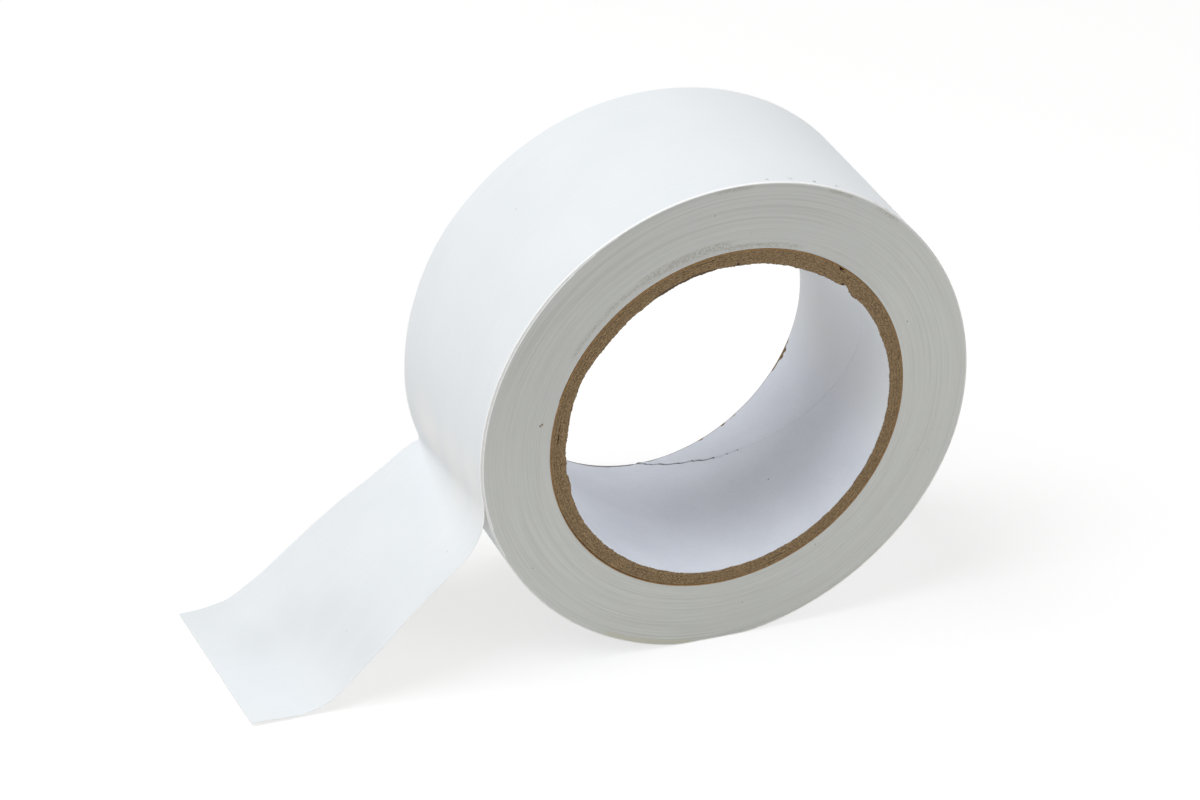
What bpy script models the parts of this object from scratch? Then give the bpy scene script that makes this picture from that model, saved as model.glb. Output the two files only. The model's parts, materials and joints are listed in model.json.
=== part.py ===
"""Roll of floor marking tape: a spiral-wound paper core, the wound film and a peeled tail.

Lengths are metres and +Z is up. The roll stands on its rim with its axis along Y and its tail
towards -X. The origin is on the floor, under the middle of the roll's axis.
"""

import math

import bmesh
import bpy
from mathutils import Vector

# Core: a paper tube wound from plies, each with a helical butt seam
BORE_RADIUS = 0.0381
LINER_THICKNESS = 0.0003
BOARD_PLY_THICKNESS = 0.0006
BOARD_PLY_COUNT = 4
OUTER_PLY_THICKNESS = 0.0003
GLUE_LINE = 0.00008
SEAM_GAP = 0.0004
SEAM_TURN = math.radians(145)
LINER_SEAM_START = math.radians(86)
SEAM_STAGGER = math.radians(70)
CUTTER_OVERRUN = 0.002

# Tape: film with adhesive under it
TAPE_WIDTH = 0.048
TAPE_THICKNESS = 0.000135
PACK_LENGTH = 32.55

# Outer turn: the last loop of tape, a little loose over the tight pack
TURN_CLEARANCE = 0.0003
TURN_GAP = 0.00045
TURN_OVERLAP_STEPS = 4
REST_FLAT_DEPTH = 0.0005

# Peel: the strip leaves the roll along a slanted line, gently in front and sharply behind
PEEL_CLEARANCE = 0.0003
PEEL_STRIP_LENGTH = 0.006
PEEL_ANGLE_FRONT = math.radians(10.3)
PEEL_ANGLE_BACK = math.radians(21.3)
PEEL_BEND_FRONT = 0.0158
PEEL_BEND_BACK = 0.0015

# Tail: a slope down to the floor and a flat end, hinged in stretches
SLOPE_FRONT = math.radians(45.2)
SLOPE_BACK = math.radians(37.4)
FLOOR_BEND_FRONT = 0.0152
FLOOR_BEND_BACK = 0.0098
FLAT_LENGTH = 0.0065
TAIL_MIDDLE_LENGTH = 0.027
TAIL_END_LENGTH = 0.012
TAIL_FLOOR_GAP = 0.0001
HINGE_GAP = 0.0006

# Facets
RING_STEPS = 72
SEAM_STEPS = 30
TAIL_ROWS = 6
TAIL_STEPS = 6

# Sizes that follow
STEP_ANGLE = 2 * math.pi / RING_STEPS
BOARD_START = BORE_RADIUS + LINER_THICKNESS + GLUE_LINE
OUTER_PLY_START = BOARD_START + BOARD_PLY_COUNT * (BOARD_PLY_THICKNESS + GLUE_LINE)
PACK_START = OUTER_PLY_START + OUTER_PLY_THICKNESS + GLUE_LINE
PACK_RADIUS = math.sqrt(PACK_START**2 + PACK_LENGTH * TAPE_THICKNESS / math.pi)
TURN_PITCH = TAPE_THICKNESS + TURN_GAP
TURN_STEPS = RING_STEPS + TURN_OVERLAP_STEPS
TURN_START_RADIUS = PACK_RADIUS + TURN_CLEARANCE + TAPE_THICKNESS / 2
TURN_END_RADIUS = TURN_START_RADIUS + TURN_PITCH * TURN_STEPS / RING_STEPS
PEEL_RADIUS = TURN_END_RADIUS + TAPE_THICKNESS + PEEL_CLEARANCE
PEEL_TOP_ANGLE = PEEL_ANGLE_FRONT - PEEL_STRIP_LENGTH / PEEL_RADIUS
TURN_END_ANGLE = PEEL_TOP_ANGLE - HINGE_GAP / PEEL_RADIUS
TURN_START_ANGLE = TURN_END_ANGLE - TURN_STEPS * STEP_ANGLE


def turn_radius(angle):
    """The middle of the outer turn's film, which spirals outwards along the tape."""
    return TURN_START_RADIUS + TURN_PITCH * (angle - TURN_START_ANGLE) / (2 * math.pi)


BOTTOM_ANGLE = math.radians(90 - 360)
AXIS_HEIGHT = turn_radius(BOTTOM_ANGLE) + TAPE_THICKNESS / 2 - REST_FLAT_DEPTH
PACK_FLAT_HEIGHT = TAPE_THICKNESS + TURN_CLEARANCE
ROLL_CENTRE = Vector((0, 0, AXIS_HEIGHT))

# Colours, with roughness
LINER_PAPER = ((0.62, 0.64, 0.68), 0.75)
BOARD = ((0.19, 0.13, 0.08), 0.9)
KRAFT_PAPER = ((0.30, 0.18, 0.09), 0.85)
WOUND_EDGES = ((0.50, 0.50, 0.47), 0.6)
WHITE_FILM = ((0.80, 0.82, 0.84), 0.4)


def clear_scene():
    for old in list(bpy.data.objects):
        bpy.data.objects.remove(old, do_unlink=True)


def new_collection(name):
    group = bpy.data.collections.new(name)
    bpy.context.scene.collection.children.link(group)
    return group


def add_object(name, bm, group):
    """Moves a bmesh into a new object of the group."""
    mesh = bpy.data.meshes.new(name)
    bm.to_mesh(mesh)
    bm.free()
    piece = bpy.data.objects.new(name, mesh)
    group.objects.link(piece)
    return piece


def add_empty(name, location, group):
    empty = bpy.data.objects.new(name, None)
    empty.empty_display_size = BORE_RADIUS
    empty.location = location
    group.objects.link(empty)
    return empty


def hang_on(parent, piece, offset):
    """Parents a piece, with its origin at an offset from the parent's origin."""
    piece.parent = parent
    piece.location = offset


def paint(piece, finish):
    colour, roughness = finish
    material = bpy.data.materials.new(piece.name)
    material.use_nodes = True
    shader = material.node_tree.nodes["Principled BSDF"]
    shader.inputs["Base Color"].default_value = (*colour, 1)
    shader.inputs["Roughness"].default_value = roughness
    shader.inputs["Metallic"].default_value = 0
    material.diffuse_color = (*colour, 1)
    piece.data.materials.append(material)


def smooth_faces(bm):
    """Shades all faces smooth up to the open edges, which stay sharp."""
    for face in bm.faces:
        face.smooth = True
    for edge in bm.edges:
        edge.smooth = not edge.is_boundary


def thicken(piece, thickness, offset):
    shell = piece.modifiers.new("thickness", "SOLIDIFY")
    shell.thickness = thickness
    shell.offset = offset
    shell.use_even_offset = True


def cut(piece, cutter):
    cutter.hide_render = True
    cutter.display_type = "WIRE"
    slit = piece.modifiers.new(cutter.name, "BOOLEAN")
    slit.operation = "DIFFERENCE"
    slit.solver = "EXACT"
    slit.object = cutter


def sleeve(name, inner, outer, finish):
    """A round wall about the roll's axis, as wide as the tape."""
    bm = bmesh.new()
    bmesh.ops.create_cone(
        bm, cap_ends=False, segments=RING_STEPS, radius1=outer, radius2=outer, depth=TAPE_WIDTH
    )
    smooth_faces(bm)
    piece = add_object(name, bm, PARTS)
    wall = (outer - inner) * math.cos(math.pi / RING_STEPS)
    thicken(piece, wall, -1)
    paint(piece, finish)
    hang_on(ROLL, piece, (0, 0, 0))
    piece.rotation_euler.x = math.pi / 2
    return piece


def seam_blade(name, inner, outer, seam_start):
    """A helical blade along a ply's butt seam, from the back face to the front face."""
    overrun_turn = SEAM_TURN * CUTTER_OVERRUN / TAPE_WIDTH
    full_turn = SEAM_TURN + 2 * overrun_turn
    full_rise = TAPE_WIDTH + 2 * CUTTER_OVERRUN
    start = math.pi + seam_start - overrun_turn
    low = -full_rise / 2 - SEAM_GAP / 2
    high = -full_rise / 2 + SEAM_GAP / 2
    near = inner - CUTTER_OVERRUN
    far = outer + CUTTER_OVERRUN
    bm = bmesh.new()
    corners = [(near, low), (far, low), (far, high), (near, high)]
    for radius, height in corners:
        bm.verts.new((radius * math.cos(start), radius * math.sin(start), height))
    bm.faces.new(bm.verts)
    bmesh.ops.spin(
        bm,
        geom=bm.verts[:] + bm.edges[:] + bm.faces[:],
        axis=(0, 0, 1),
        cent=(0, 0, 0),
        dvec=(0, 0, full_rise / SEAM_STEPS),
        angle=full_turn,
        steps=SEAM_STEPS,
    )
    bmesh.ops.recalc_face_normals(bm, faces=bm.faces)
    blade = add_object(name, bm, CUTTERS)
    hang_on(ROLL, blade, (0, 0, 0))
    blade.rotation_euler.x = math.pi / 2
    return blade


def ply(name, inner, thickness, seam_start, finish):
    piece = sleeve(name, inner, inner + thickness, finish)
    cut(piece, seam_blade(name + "_seam", inner, inner + thickness, seam_start))
    return piece


def build_core():
    ply("core_liner", BORE_RADIUS, LINER_THICKNESS, LINER_SEAM_START, LINER_PAPER)
    inner = BOARD_START
    for number in range(1, BOARD_PLY_COUNT + 1):
        seam_start = LINER_SEAM_START + number * SEAM_STAGGER
        ply(f"core_ply_{number}", inner, BOARD_PLY_THICKNESS, seam_start, BOARD)
        inner += BOARD_PLY_THICKNESS + GLUE_LINE
    seam_start = LINER_SEAM_START + (BOARD_PLY_COUNT + 1) * SEAM_STAGGER
    ply("core_outer_ply", OUTER_PLY_START, OUTER_PLY_THICKNESS, seam_start, KRAFT_PAPER)


def build_pack():
    """The tight turns under the outer one, flattened where the roll stands."""
    pack = sleeve("tape_winding", PACK_START, PACK_RADIUS, WOUND_EDGES)
    bm = bmesh.new()
    bmesh.ops.create_cube(bm, size=1)
    floor_size = (2 * PACK_RADIUS, TAPE_WIDTH + 2 * CUTTER_OVERRUN, 2 * CUTTER_OVERRUN)
    bmesh.ops.scale(bm, verts=bm.verts, vec=floor_size)
    floor = add_object("tape_winding_rest_flat", bm, CUTTERS)
    hang_on(ROLL, floor, (0, 0, PACK_FLAT_HEIGHT - CUTTER_OVERRUN - AXIS_HEIGHT))
    cut(pack, floor)


def across(share, front, back):
    """A value between the tape's front edge (share 0) and its back edge (share 1)."""
    return front + (back - front) * share


def tape_y(share):
    return across(share, -TAPE_WIDTH / 2, TAPE_WIDTH / 2)


def roll_point(radius, angle, share):
    """A point on the roll. Angles start at -X and run down, along the tape."""
    x = -radius * math.cos(angle)
    z = AXIS_HEIGHT - radius * math.sin(angle)
    return Vector((x, tape_y(share), z))


def turn_point(angle, share):
    """A point on the outer turn, which lies flat where the roll stands on it."""
    point = roll_point(turn_radius(angle), angle, share)
    point.z = max(point.z, TAPE_THICKNESS / 2)
    return point


class TailRow:
    """The tail's path at one share of the tape's width: peel bend, slope, floor bend and flat."""

    def __init__(self, share):
        self.peel_bend = across(share, PEEL_BEND_FRONT, PEEL_BEND_BACK)
        self.slope = across(share, SLOPE_FRONT, SLOPE_BACK)
        self.floor_bend = across(share, FLOOR_BEND_FRONT, FLOOR_BEND_BACK)
        peel_angle = across(share, PEEL_ANGLE_FRONT, PEEL_ANGLE_BACK)
        self.start_dip = math.pi / 2 + peel_angle
        self.start = roll_point(PEEL_RADIUS, peel_angle, share)
        self.peel_length = self.peel_bend * (self.start_dip - self.slope)
        self.slope_top = on_bend(self.start, self.peel_bend, self.start_dip, self.slope)
        end_height = TAIL_FLOOR_GAP + TAPE_THICKNESS / 2
        slope_drop = self.slope_top.z - self.floor_bend * (1 - math.cos(self.slope)) - end_height
        self.slope_length = slope_drop / math.sin(self.slope)
        slope_reach = slope_drop / math.tan(self.slope)
        self.slope_foot = self.slope_top + Vector((-slope_reach, 0, -slope_drop))
        self.floor_length = self.floor_bend * self.slope
        self.flat_start = on_bend(self.slope_foot, self.floor_bend, self.slope, 0)

    def point(self, distance):
        """A point at a distance along the row from the peel line."""
        if distance < self.peel_length:
            dip = self.start_dip - distance / self.peel_bend
            return on_bend(self.start, self.peel_bend, self.start_dip, dip)
        distance -= self.peel_length
        if distance < self.slope_length:
            return self.slope_top.lerp(self.slope_foot, distance / self.slope_length)
        distance -= self.slope_length
        if distance < self.floor_length:
            dip = self.slope - distance / self.floor_bend
            return on_bend(self.slope_foot, self.floor_bend, self.slope, dip)
        distance -= self.floor_length
        return self.flat_start + Vector((-distance, 0, 0))

    def hinges(self):
        """Distances of the end of the peel bend, the two flex lines and the tail's end."""
        flat_length = self.flat_start.x - tail_end_x()
        length = self.peel_length + self.slope_length + self.floor_length + flat_length
        end_hinge = length - TAIL_END_LENGTH
        return (self.peel_length, end_hinge - TAIL_MIDDLE_LENGTH, end_hinge, length)


def on_bend(start, radius, start_dip, dip):
    """The point of an upward bend where the tape dips by an angle below the level."""
    reach = radius * (math.sin(start_dip) - math.sin(dip))
    drop = radius * (math.cos(dip) - math.cos(start_dip))
    return start + Vector((-reach, 0, -drop))


def tail_end_x():
    """Both edges end square, a flat length past the edge that reaches the floor last."""
    return min(TailRow(share).flat_start.x for share in (0, 1)) - FLAT_LENGTH


def peel_point(column, share):
    """The peel strip's points: on the roll up to column 0, then round the bend to column 1."""
    row = TailRow(share)
    if column > 0:
        return row.point((row.peel_length - HINGE_GAP / 2) * column)
    peel_angle = across(share, PEEL_ANGLE_FRONT, PEEL_ANGLE_BACK)
    angle = peel_angle + (peel_angle - PEEL_TOP_ANGLE) * column
    return roll_point(PEEL_RADIUS, angle, share)


def stretch_points(number, free_end):
    """The points of one stretch of the tail, which keeps half a gap to each hinge line."""

    def point(column, share):
        row = TailRow(share)
        low, high = row.hinges()[number : number + 2]
        low += HINGE_GAP / 2
        if not free_end:
            high -= HINGE_GAP / 2
        return row.point(low + (high - low) * column)

    return point


def spaced(first, last, steps):
    return [first + (last - first) * step / steps for step in range(steps + 1)]


def ribbon(name, columns, rows, point, parent, pivot, parent_pivot):
    """A strip of tape: an open grid laid on its points, then thickened. Its origin is the pivot."""
    bm = bmesh.new()
    spaces = len(columns) - 1
    bmesh.ops.create_grid(bm, x_segments=spaces, y_segments=rows, size=0.5)
    for vert in bm.verts:
        column = columns[round((vert.co.x + 0.5) * spaces)]
        vert.co = point(column, vert.co.y + 0.5) - pivot
    smooth_faces(bm)
    piece = add_object(name, bm, PARTS)
    thicken(piece, TAPE_THICKNESS, 0)
    paint(piece, WHITE_FILM)
    hang_on(parent, piece, pivot - parent_pivot)
    return piece


def hinge_pivot(name, number):
    """The middle of a hinge line across the tail, printed with the line's direction."""
    front, back = (row.point(row.hinges()[number]) for row in (TailRow(0), TailRow(1)))
    pivot = (front + back) / 2
    axis = (back - front).normalized()
    print(name, "turns at", [round(v, 6) for v in pivot], "along", [round(v, 6) for v in axis])
    return pivot


def print_turn_gap(columns):
    """Prints the outer turn's least gap to itself, measured where it passes over its start."""
    gaps = []
    for start, over in zip(columns, columns[RING_STEPS:]):
        apart = (turn_point(over, 0) - turn_point(start, 0)).length
        gaps.append(apart * math.cos(STEP_ANGLE / 2) - TAPE_THICKNESS)
    print("outer turn's least gap to itself", round(min(gaps), 6))


def build_outer_turn():
    columns = spaced(TURN_START_ANGLE, TURN_END_ANGLE, TURN_STEPS)
    print_turn_gap(columns)
    flat = math.acos((AXIS_HEIGHT - TAPE_THICKNESS / 2) / turn_radius(BOTTOM_ANGLE))
    columns = sorted(columns + [BOTTOM_ANGLE - flat, BOTTOM_ANGLE + flat])
    ribbon("tape_outer_turn", columns, 1, turn_point, ROLL, ROLL_CENTRE, ROLL_CENTRE)


def build_tail():
    print("tape_peel_strip turns at", [round(v, 6) for v in ROLL_CENTRE], "along Y")
    columns = spaced(-1, 1, 2 * TAIL_STEPS)
    parent = ribbon(
        "tape_peel_strip", columns, TAIL_ROWS, peel_point, ROLL, ROLL_CENTRE, ROLL_CENTRE
    )
    parent_pivot = ROLL_CENTRE
    names = ("tape_tail_root", "tape_tail_middle", "tape_tail_end")
    for number, name in enumerate(names):
        pivot = hinge_pivot(name, number)
        points = stretch_points(number, free_end=name == names[-1])
        columns = spaced(0, 1, TAIL_STEPS)
        parent = ribbon(name, columns, TAIL_ROWS, points, parent, pivot, parent_pivot)
        parent_pivot = pivot


clear_scene()
PARTS = new_collection("floor_marking_tape_roll")
CUTTERS = new_collection("floor_marking_tape_roll_cutters")
ROLL = add_empty("roll_axis", ROLL_CENTRE, PARTS)
build_core()
build_pack()
build_outer_turn()
build_tail()
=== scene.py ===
import json
import math

import bpy
import numpy as np
from mathutils import Matrix, Vector


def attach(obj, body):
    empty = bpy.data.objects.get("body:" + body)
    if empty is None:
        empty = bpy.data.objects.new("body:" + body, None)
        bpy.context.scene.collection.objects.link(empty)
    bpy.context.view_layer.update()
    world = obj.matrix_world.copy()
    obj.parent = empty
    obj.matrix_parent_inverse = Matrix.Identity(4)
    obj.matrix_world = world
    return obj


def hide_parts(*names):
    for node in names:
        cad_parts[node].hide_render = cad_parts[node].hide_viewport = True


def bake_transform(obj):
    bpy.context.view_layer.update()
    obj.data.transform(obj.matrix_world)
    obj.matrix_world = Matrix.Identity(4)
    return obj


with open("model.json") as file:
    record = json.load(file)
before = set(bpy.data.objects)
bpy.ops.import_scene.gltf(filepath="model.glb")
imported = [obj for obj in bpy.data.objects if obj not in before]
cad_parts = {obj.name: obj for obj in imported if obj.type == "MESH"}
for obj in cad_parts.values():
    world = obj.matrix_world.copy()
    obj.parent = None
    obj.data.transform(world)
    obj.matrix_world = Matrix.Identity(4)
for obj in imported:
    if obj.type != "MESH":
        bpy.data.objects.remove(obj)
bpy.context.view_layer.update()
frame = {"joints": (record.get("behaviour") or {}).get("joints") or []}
JOINTS = {joint["name"]: joint for joint in frame["joints"]}

# Roll, in metres and radians: angles start at -X and run down, the way the tape runs
AXIS_HEIGHT = JOINTS["unwind"]["pos_m"][2]
HALF_WIDTH = 0.024
TAPE = 0.000135
PACK_TURNS = 110
TURN_STEPS = 180
TURN_START = math.radians(-376.3)
TURN_END = math.radians(3.7)
RIM_RADIUS = 0.056514
FLOOR_CLEARANCE = 0.0002
FILM_CLEARANCE = 0.00002

# The rim is a little out of round: number of lobes, height, angle of the first lobe times their number
LOBES = (
    (1, 0.000135, math.radians(-88)),
    (2, 0.000131, math.radians(127)),
    (3, 0.000060, math.radians(-135)),
    (4, 0.000109, math.radians(-8)),
    (5, 0.000088, math.radians(67)),
)

# Where the rim bulges or sags: angle and half width in degrees, and heights at the front and at the back
BULGES = (
    (-150, 50, -0.00017, -0.00024),
    (-105, 40, 0.0, -0.0004),
    (-29, 16, 0.0, 0.0002),
    (90, 50, -0.0003, -0.0003),
)
REST_SOFTNESS = 0.00012
NEAR_FLOOR = 0.5
FAR_RADIUS = 1.0

# The last layers are wound loosely around the place where the tail peels off
LOOSE_START = (math.radians(-64), math.radians(-44))
LOOSE_END = (math.radians(8), math.radians(34))
LOOSE_LIFT = 0.0003
LOOSE_DEPTH = 0.00025
LOOSE_LAYERS = (1.8, 3.6)
LOOSE_INSET = 0.00015

# The end of the outer turn lies loosely on the roll at the back
END_LIFT = 0.00032
END_LIFT_ANGLES = (math.radians(-4), math.radians(13))

# The rim's corner falls away over the last layers
CORNER_DEPTH = 0.0001
CORNER_LAYERS = (0.5, 1.7)

# Unevenness of the wound faces: size outwards, count around, cells outwards, and height
FACE_WAVES = (
    (0.0011, 7, 64, 0.000022),
    (0.00042, 12, 256, 0.000016),
    (TAPE, 24, 512, 0.000012),
)
PROUD_WAVE = ((0.00034, 5, 256, 1.0),)
PROUD_LEVELS = (0.45, 0.75)
PROUD_HEIGHT = 0.00004
FACE_RECESS = 0.00008
VALLEY_DEPTH = 0.00002
FACE_SEEDS = ((-1, 11), (1, 31))

# Tail: each pair has the front edge first, then the back edge
PEEL_ANGLE = (math.radians(10.3), math.radians(21.3))
PEEL_BEND = (0.0158, 0.0015)
SLOPE = (math.radians(45.2), math.radians(37.4))
FLOOR_BEND = (0.0152, 0.0098)
FLAT_LENGTH = 0.0071
TAIL_MIDDLE_LENGTH = 0.027
TAIL_END_LENGTH = 0.012
TAIL_FLOOR_GAP = 0.0001
TIP_REACH = 0.024
TIP_PULL = 0.0014
TIP_CURL = 0.00075
END_SLANT = 0.0015

# Where the tail bows up: place and half width as shares of the way to the floor, and heights at both edges
BOWS = (
    (0.08, 0.20, 0.0, 0.00065),
    (0.45, 0.42, 0.0, 0.0014),
    (0.45, 0.22, 0.00065, 0.0),
    (0.93, 0.17, 0.0, 0.0008),
)
BOW_START = 0.004
SETTLED = (-0.004, 0.012)
STRIP_GAP = 0.0002
EDGE_ROUNDING = 0.8

# Fineness of the meshes, and the angles in degrees from which their edges are sharp
TURN_COLUMNS = 401
TURN_ROWS = 17
TAIL_ROWS = 25
PEEL_COLUMNS = (14, 18, 12)
SLOPE_COLUMNS = 30
TIP_COLUMNS = 40
FIRST_PLY_COLUMNS = 1440
PLY_COLUMNS = 720
LINER_COLUMNS = (81, 150, 120)
LINER_ROWS = (20, 70, 17)
FILM_SHARP = 40
CORE_SHARP = 50
WINDING_SHARP = 60

# Bake maps
MAP_MARGIN = 0.02
CAP_WIDTH = 0.01
FACE_MAP = 0.44
BACK_FACE_MAP = 0.46
BORE_MAP = (0.92, 0.94)
OUTSIDE_MAP = (0.95, 0.98)
CAP_MAP = (0.01, 0.99)
CAP_MAP_SIZE = 0.004
CAP_MAP_STEP = 0.02

# Core
LINER_BORE = 0.0381
LINER_OUTSIDE = 0.0384
LINER_FRONT = -HALF_WIDTH + 0.0003
LINER_MIDDLE = 0.009
LINER_BACK = HALF_WIDTH - 0.00035
LINER_END = 0.0024
LINER_REACH = (math.radians(142), math.radians(48), 0.00035)
LINER_WAVE = 0.00003
LINER_WAVE_SEED = 200
LINER_WAVE_CELLS = (60, 64)
LINER_WAVE_LENGTH = 0.004
PLY_START = 0.03848
PLY_THICKNESS = 0.00066
PLY_PITCH = 0.00068
KRAFT_WIDTH = 0.00017
KRAFT_GAP = 0.00018
KRAFT_GAP_PLACE = (math.radians(52), math.radians(42))
KRAFT_CLEARANCE = 0.00002
KRAFT_RECESS = (0.00005, 0.00004)
KRAFT_SEED = 100
PLY_SEEDS = (50, 70, 80, 90)
BACK_SEED = 5
CORE_RADIUS = 0.041335
CORE_SQUEEZE = 0.00008
CORE_SQUEEZE_ANGLE = math.radians(60)
CORE_SHIFT = 0.00009
CORE_SHIFT_ANGLE = math.radians(30)
CORE_GAP = 0.00003
BOARD_RECESS = 0.00008

# How the end of a ply falls away, from its inner edge to its outer edge
PLY_CORNER = (0.00005, 0.00001, 0, 0, 0, 0, 0, 0.00001, 0.00005)

# Roughness of the board's ends: size outwards, count around, cells outwards, and height
BOARD_WAVES = (
    (0.0003, 300, 64, 0.00005),
    (0.00014, 520, 128, 0.00004),
)

# The first ply's ragged lip, with the count around and the height of its waves
LIP_SEED = 40
LIP_DEPTH = 0.00022
LIP_STEP = 0.0003
LIP_RADIUS = 0.03807
LIP_SHIFT = 0.00018
LIP_SHIFT_ANGLE = math.radians(315)
LIP_WAVES = (
    (640, 0.00009),
    (130, 0.00008),
)

# Where the lip reaches further in, or less: angle and half width in degrees, and depth
BURRS = (
    (357, 12, 0.0003),
    (5.5, 4.5, 0.0002),
    (11.5, 4, 0.0004),
    (15, 4, 0.0004),
    (21, 5, 0.0001),
    (42, 8, 0.00012),
    (82, 12, -0.00032),
    (203, 14, 0.00022),
    (220, 9, 0.00028),
    (223.5, 3.5, 0.00035),
    (244, 28, 0.0005),
    (228, 2.6, -0.0006),
    (270, 8, 0.0002),
    (322, 26, 0.00022),
    (286, 16, -0.00012),
    (333, 13, -0.0004),
)

# Where a ply has come loose: its number, angle and half width in degrees, and opening
SLITS = (
    (2, 356.5, 2.6, 0.00032),
    (2, 352.5, 2.2, 0.00022),
    (3, 282, 7, 0.00014),
    (2, 111, 4, 0.0002),
    (3, 108, 3, 0.00016),
    (4, 233.7, 1.5, 0.0006),
    (1, 62, 5, 0.0001),
)

# The liner's helical seam, open at the back: pairs run from the front to the back
SEAM_BACK_ANGLE = math.radians(88)
SEAM_TURN = math.radians(147)
SEAM_OPEN = (0.011, 0.016)
SEAM_WANDER = 0.0006
SEAM_GAP = 0.00032
SEAM_LINE = 0.00015
SEAM_LAP = (0.00008, 0.00022)
SEAM_LAP_FADE = (0.0003, 0.0026)
SEAM_GROOVE = (0.00005, 0.00024)
SEAM_SIDE = 0.1
SEAM_TORN_SIDE = 1.3
SEAM_WANDER_REACH = 0.002
SEAM_BREAKS = 0.35
SEAM_DARK = 0.5
PAPER_FACE, GAP_FACE, BOARD_FACE, FOLD_FACE = range(4)

# How the seam strays from its helix: seed, length, cells, and height
WANDER_WAVES = (
    (201, 0.0009, 64, 0.6),
    (202, 0.00036, 128, 1.0),
)

# Where the liner's face is torn off at its back end: angle and half width in degrees, and length
TEARS = (
    (155.4, 10, 0.0011),
    (128.7, 2.2, 0.0006),
    (123.5, 2, 0.0006),
    (114.5, 2.2, 0.0006),
    (190, 18, 0.0003),
)
TEAR_SEED = 211
TEAR_COUNT = 260
TEAR_ROUGHNESS = 0.5
TEAR_DEPTH = 0.00012

# Where the liner's back edge gapes: angle and half width in degrees, and length
EDGE_GAPS = (
    (74, 30, 0.0008),
    (125, 85, 0.0003),
)

# Camera
CAMERA_PLACE = (-0.353111, -0.766168, 0.539056)
CAMERA_RIGHT = (0.92563, -0.37617, 0.04118)
CAMERA_UP = (0.15702, 0.48083, 0.86265)
CAMERA_LOOK = (0.34430, 0.79203, -0.50414)
CAMERA_LENS = 132.95
CAMERA_SENSOR = 36
CAMERA_NEAR = 0.05

# Stage: name, place, size, power and tint of each light
LIGHTS = (
    ("key", (-0.65, 0.0, 1.25), 1.1, 16.3, (0.935, 0.973, 1.0)),
    ("fill", (0.9, -0.9, 0.7), 1.0, 7.26, (0.878, 0.936, 1.0)),
)
WORLD_LIGHT = 0.26
WORLD_TINT = (1.0, 0.87, 0.77)
FLOOR_RADIUS = 4
FLOOR_SIDES = 96
FLOOR_PLAIN = (0.8, 0.8, 0.8, 1.0)
FLOOR_SEEN = (0.34, 0.34, 0.34, 1.0)
FLOOR_GLOW = 0.7

# Colours: pairs are mixed by noise
FILM = ((0.757, 0.793, 0.817), (0.791, 0.822, 0.843))
# Painted light: a lighter film colour around the peel and on the roll below the tail
PAINTED_LIGHT_FILM = (0.865, 0.865, 0.855)
# Painted shade: a darker film colour where the tail bends down to the floor
PAINTED_SHADE_FILM = (0.68, 0.71, 0.73)
FILM_MARK = (0.4, 0.4, 0.38)
# Painted highlight along the film's edges on the roll
EDGE_HIGHLIGHT_FILM = (0.94, 0.95, 0.95)
# Painted shade on the film's cut edges
EDGE_SHADE_FILM = (0.36, 0.355, 0.33)
GLUE = ((0.83, 0.815, 0.745), (0.88, 0.865, 0.8))
WOUND = ((0.547, 0.558, 0.528), (0.624, 0.636, 0.606))
WOUND_PATCH = (0.595, 0.595, 0.545)
# Painted shade on the wound face towards the upper left
WOUND_SHADE = (0.535, 0.545, 0.52)
WOUND_LINE = (0.46, 0.465, 0.44)
SMUDGE = (0.4, 0.39, 0.345)
YELLOWED = (0.55, 0.53, 0.4)
SPECK = (0.2, 0.19, 0.16)
BROWN = (0.2, 0.13, 0.07)
BOARD = ((0.08, 0.046, 0.019), (0.365, 0.248, 0.123))
AGED_BOARD = (0.211, 0.145, 0.075)
BOARD_FLECK = (0.52, 0.41, 0.26)
BOARD_SHADE = (0.05, 0.03, 0.015)
# Painted shade in the board's pits
BOARD_PIT_SHADE = (0.02, 0.015, 0.01)
KRAFT = ((0.26, 0.13, 0.038), (0.44, 0.24, 0.075))
PAPER = ((0.774, 0.81, 0.883), (0.833, 0.865, 0.934))
# Painted shade: a darker, less blue paper on the bore's upper right
SHADED_PAPER = (0.795, 0.815, 0.815)
PAPER_SPECK = (0.1, 0.1, 0.1)
SEAM_SHADE = ((0.16, 0.155, 0.165), (0.42, 0.41, 0.425))
# Painted shade: slightly darker paper along the seam's crease
SEAM_FOLD_SHADE = ((0.75, 0.78, 0.835), (0.82, 0.85, 0.91))


# Small helpers

def smooth(value, low, high):
    share = np.clip((value - low) / (high - low), 0, 1)
    return share * share * (3 - 2 * share)


def between(pair, share):
    return pair[0] + (pair[1] - pair[0]) * share


def window(angle, centre, half):
    """1 at the centre angle, falling smoothly to 0 at half either side."""
    away = np.abs((angle - centre + math.pi) % (2 * math.pi) - math.pi)
    return 1 - smooth(away, 0, half)


def value_noise(seed, x, y, cells=(64, 64)):
    """Smooth noise from -1 to 1 that repeats after the given cells in x and y."""
    table = np.random.default_rng(seed).uniform(-1, 1, cells)
    x0, y0 = np.floor(x).astype(int), np.floor(y).astype(int)
    u, v = smooth(x - x0, 0, 1), smooth(y - y0, 0, 1)

    def corner(dx, dy):
        return table[(x0 + dx) % cells[0], (y0 + dy) % cells[1]]

    low = corner(0, 0) * (1 - u) + corner(1, 0) * u
    high = corner(0, 1) * (1 - u) + corner(1, 1) * u
    return low * (1 - v) + high * v


def around(angle, cells):
    """An angle as a noise coordinate that closes after that many cells."""
    return angle / (2 * math.pi) * cells


def ring_waves(seed, radius, angle, table):
    """Noise in rings around the axis, with one seed after the other for the table's rows."""
    total = 0.0
    for step, (size, count, cells, height) in enumerate(table):
        noise = value_noise(seed + step, radius / size, around(angle, count), (cells, count))
        total = total + height * noise
    return total


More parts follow.
